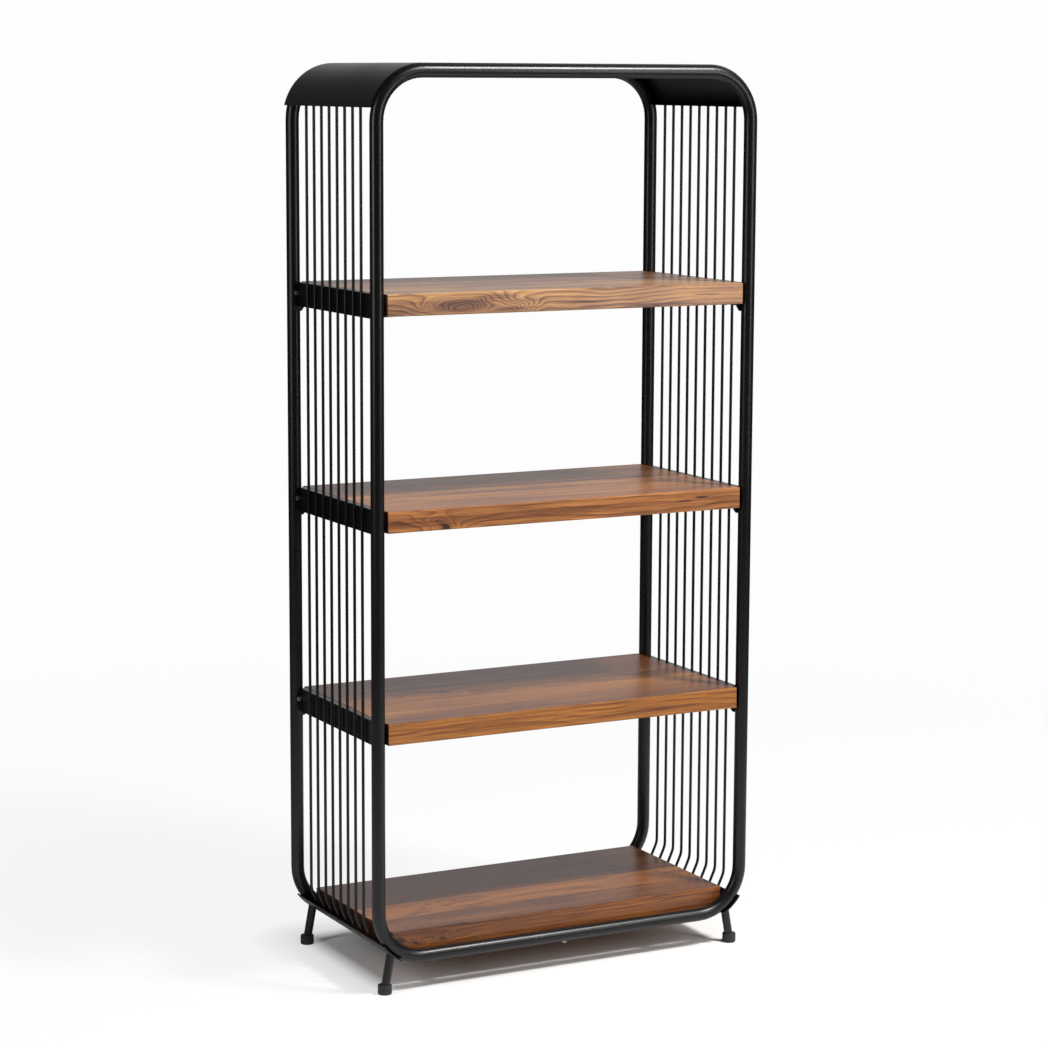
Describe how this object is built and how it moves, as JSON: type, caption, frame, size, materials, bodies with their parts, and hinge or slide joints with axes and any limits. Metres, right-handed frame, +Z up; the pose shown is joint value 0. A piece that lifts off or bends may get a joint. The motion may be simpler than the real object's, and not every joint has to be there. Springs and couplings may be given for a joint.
{
  "type": "bookcase with adjustable shelves",
  "caption": "Open bookcase of black tube hoops with barred ends and a curved sheet top, carrying thick wooden shelves on clamped steel rails above splayed legs.",
  "frame": {"origin": "on the floor, at the middle of the bookcase's overall footprint", "axes": "+X to the right as seen from the front, +Y to the back, +Z up"},
  "size_m": [0.8, 0.4, 1.7],
  "materials": {
    "steel": "satin black powder coat",
    "timber": "warm brown lacquer, semi-gloss",
    "cap": "matt black",
    "screw": "zinc plated"
  },
  "bodies": {
    "frame": {"front_hoop_left": "steel", "front_hoop_right": "steel", "rear_hoop_left": "steel", "rear_hoop_right": "steel", "leg_front_left": "steel", "leg_front_right": "steel", "leg_rear_left": "steel", "leg_rear_right": "steel", "foot_cap_front_left": "cap", "foot_cap_front_right": "cap", "foot_cap_rear_left": "cap", "foot_cap_rear_right": "cap", "hoop_spigots": "steel", "top_hood": "steel", "left_bars": "steel", "right_bars": "steel", "foot_plate_left": "steel", "foot_plate_right": "steel", "bottom_support_left": "steel", "bottom_support_right": "steel", "hoop_lock_screws": "screw", "bottom_shelf_screws": "screw", "bottom_shelf": "timber"},
    "upper_shelf_set": {"shelf_upper": "timber", "rail_upper_left": "steel", "rail_upper_right": "steel", "clamp_bolts_upper": "screw", "shelf_screws_upper": "screw"},
    "middle_shelf_set": {"shelf_middle": "timber", "rail_middle_left": "steel", "rail_middle_right": "steel", "clamp_bolts_middle": "screw", "shelf_screws_middle": "screw"},
    "lower_shelf_set": {"shelf_lower": "timber", "rail_lower_left": "steel", "rail_lower_right": "steel", "clamp_bolts_lower": "screw", "shelf_screws_lower": "screw"}
  },
  "joints": [
    {"name": "upper_shelf_height", "type": "slide", "parent": "frame", "child": "upper_shelf_set", "axis": [0, 0, 1], "range_m": [-0.15, 0.25]},
    {"name": "middle_shelf_height", "type": "slide", "parent": "frame", "child": "middle_shelf_set", "axis": [0, 0, 1], "range_m": [-0.15, 0.15]},
    {"name": "lower_shelf_height", "type": "slide", "parent": "frame", "child": "lower_shelf_set", "axis": [0, 0, 1], "range_m": [-0.25, 0.15]}
  ]
}
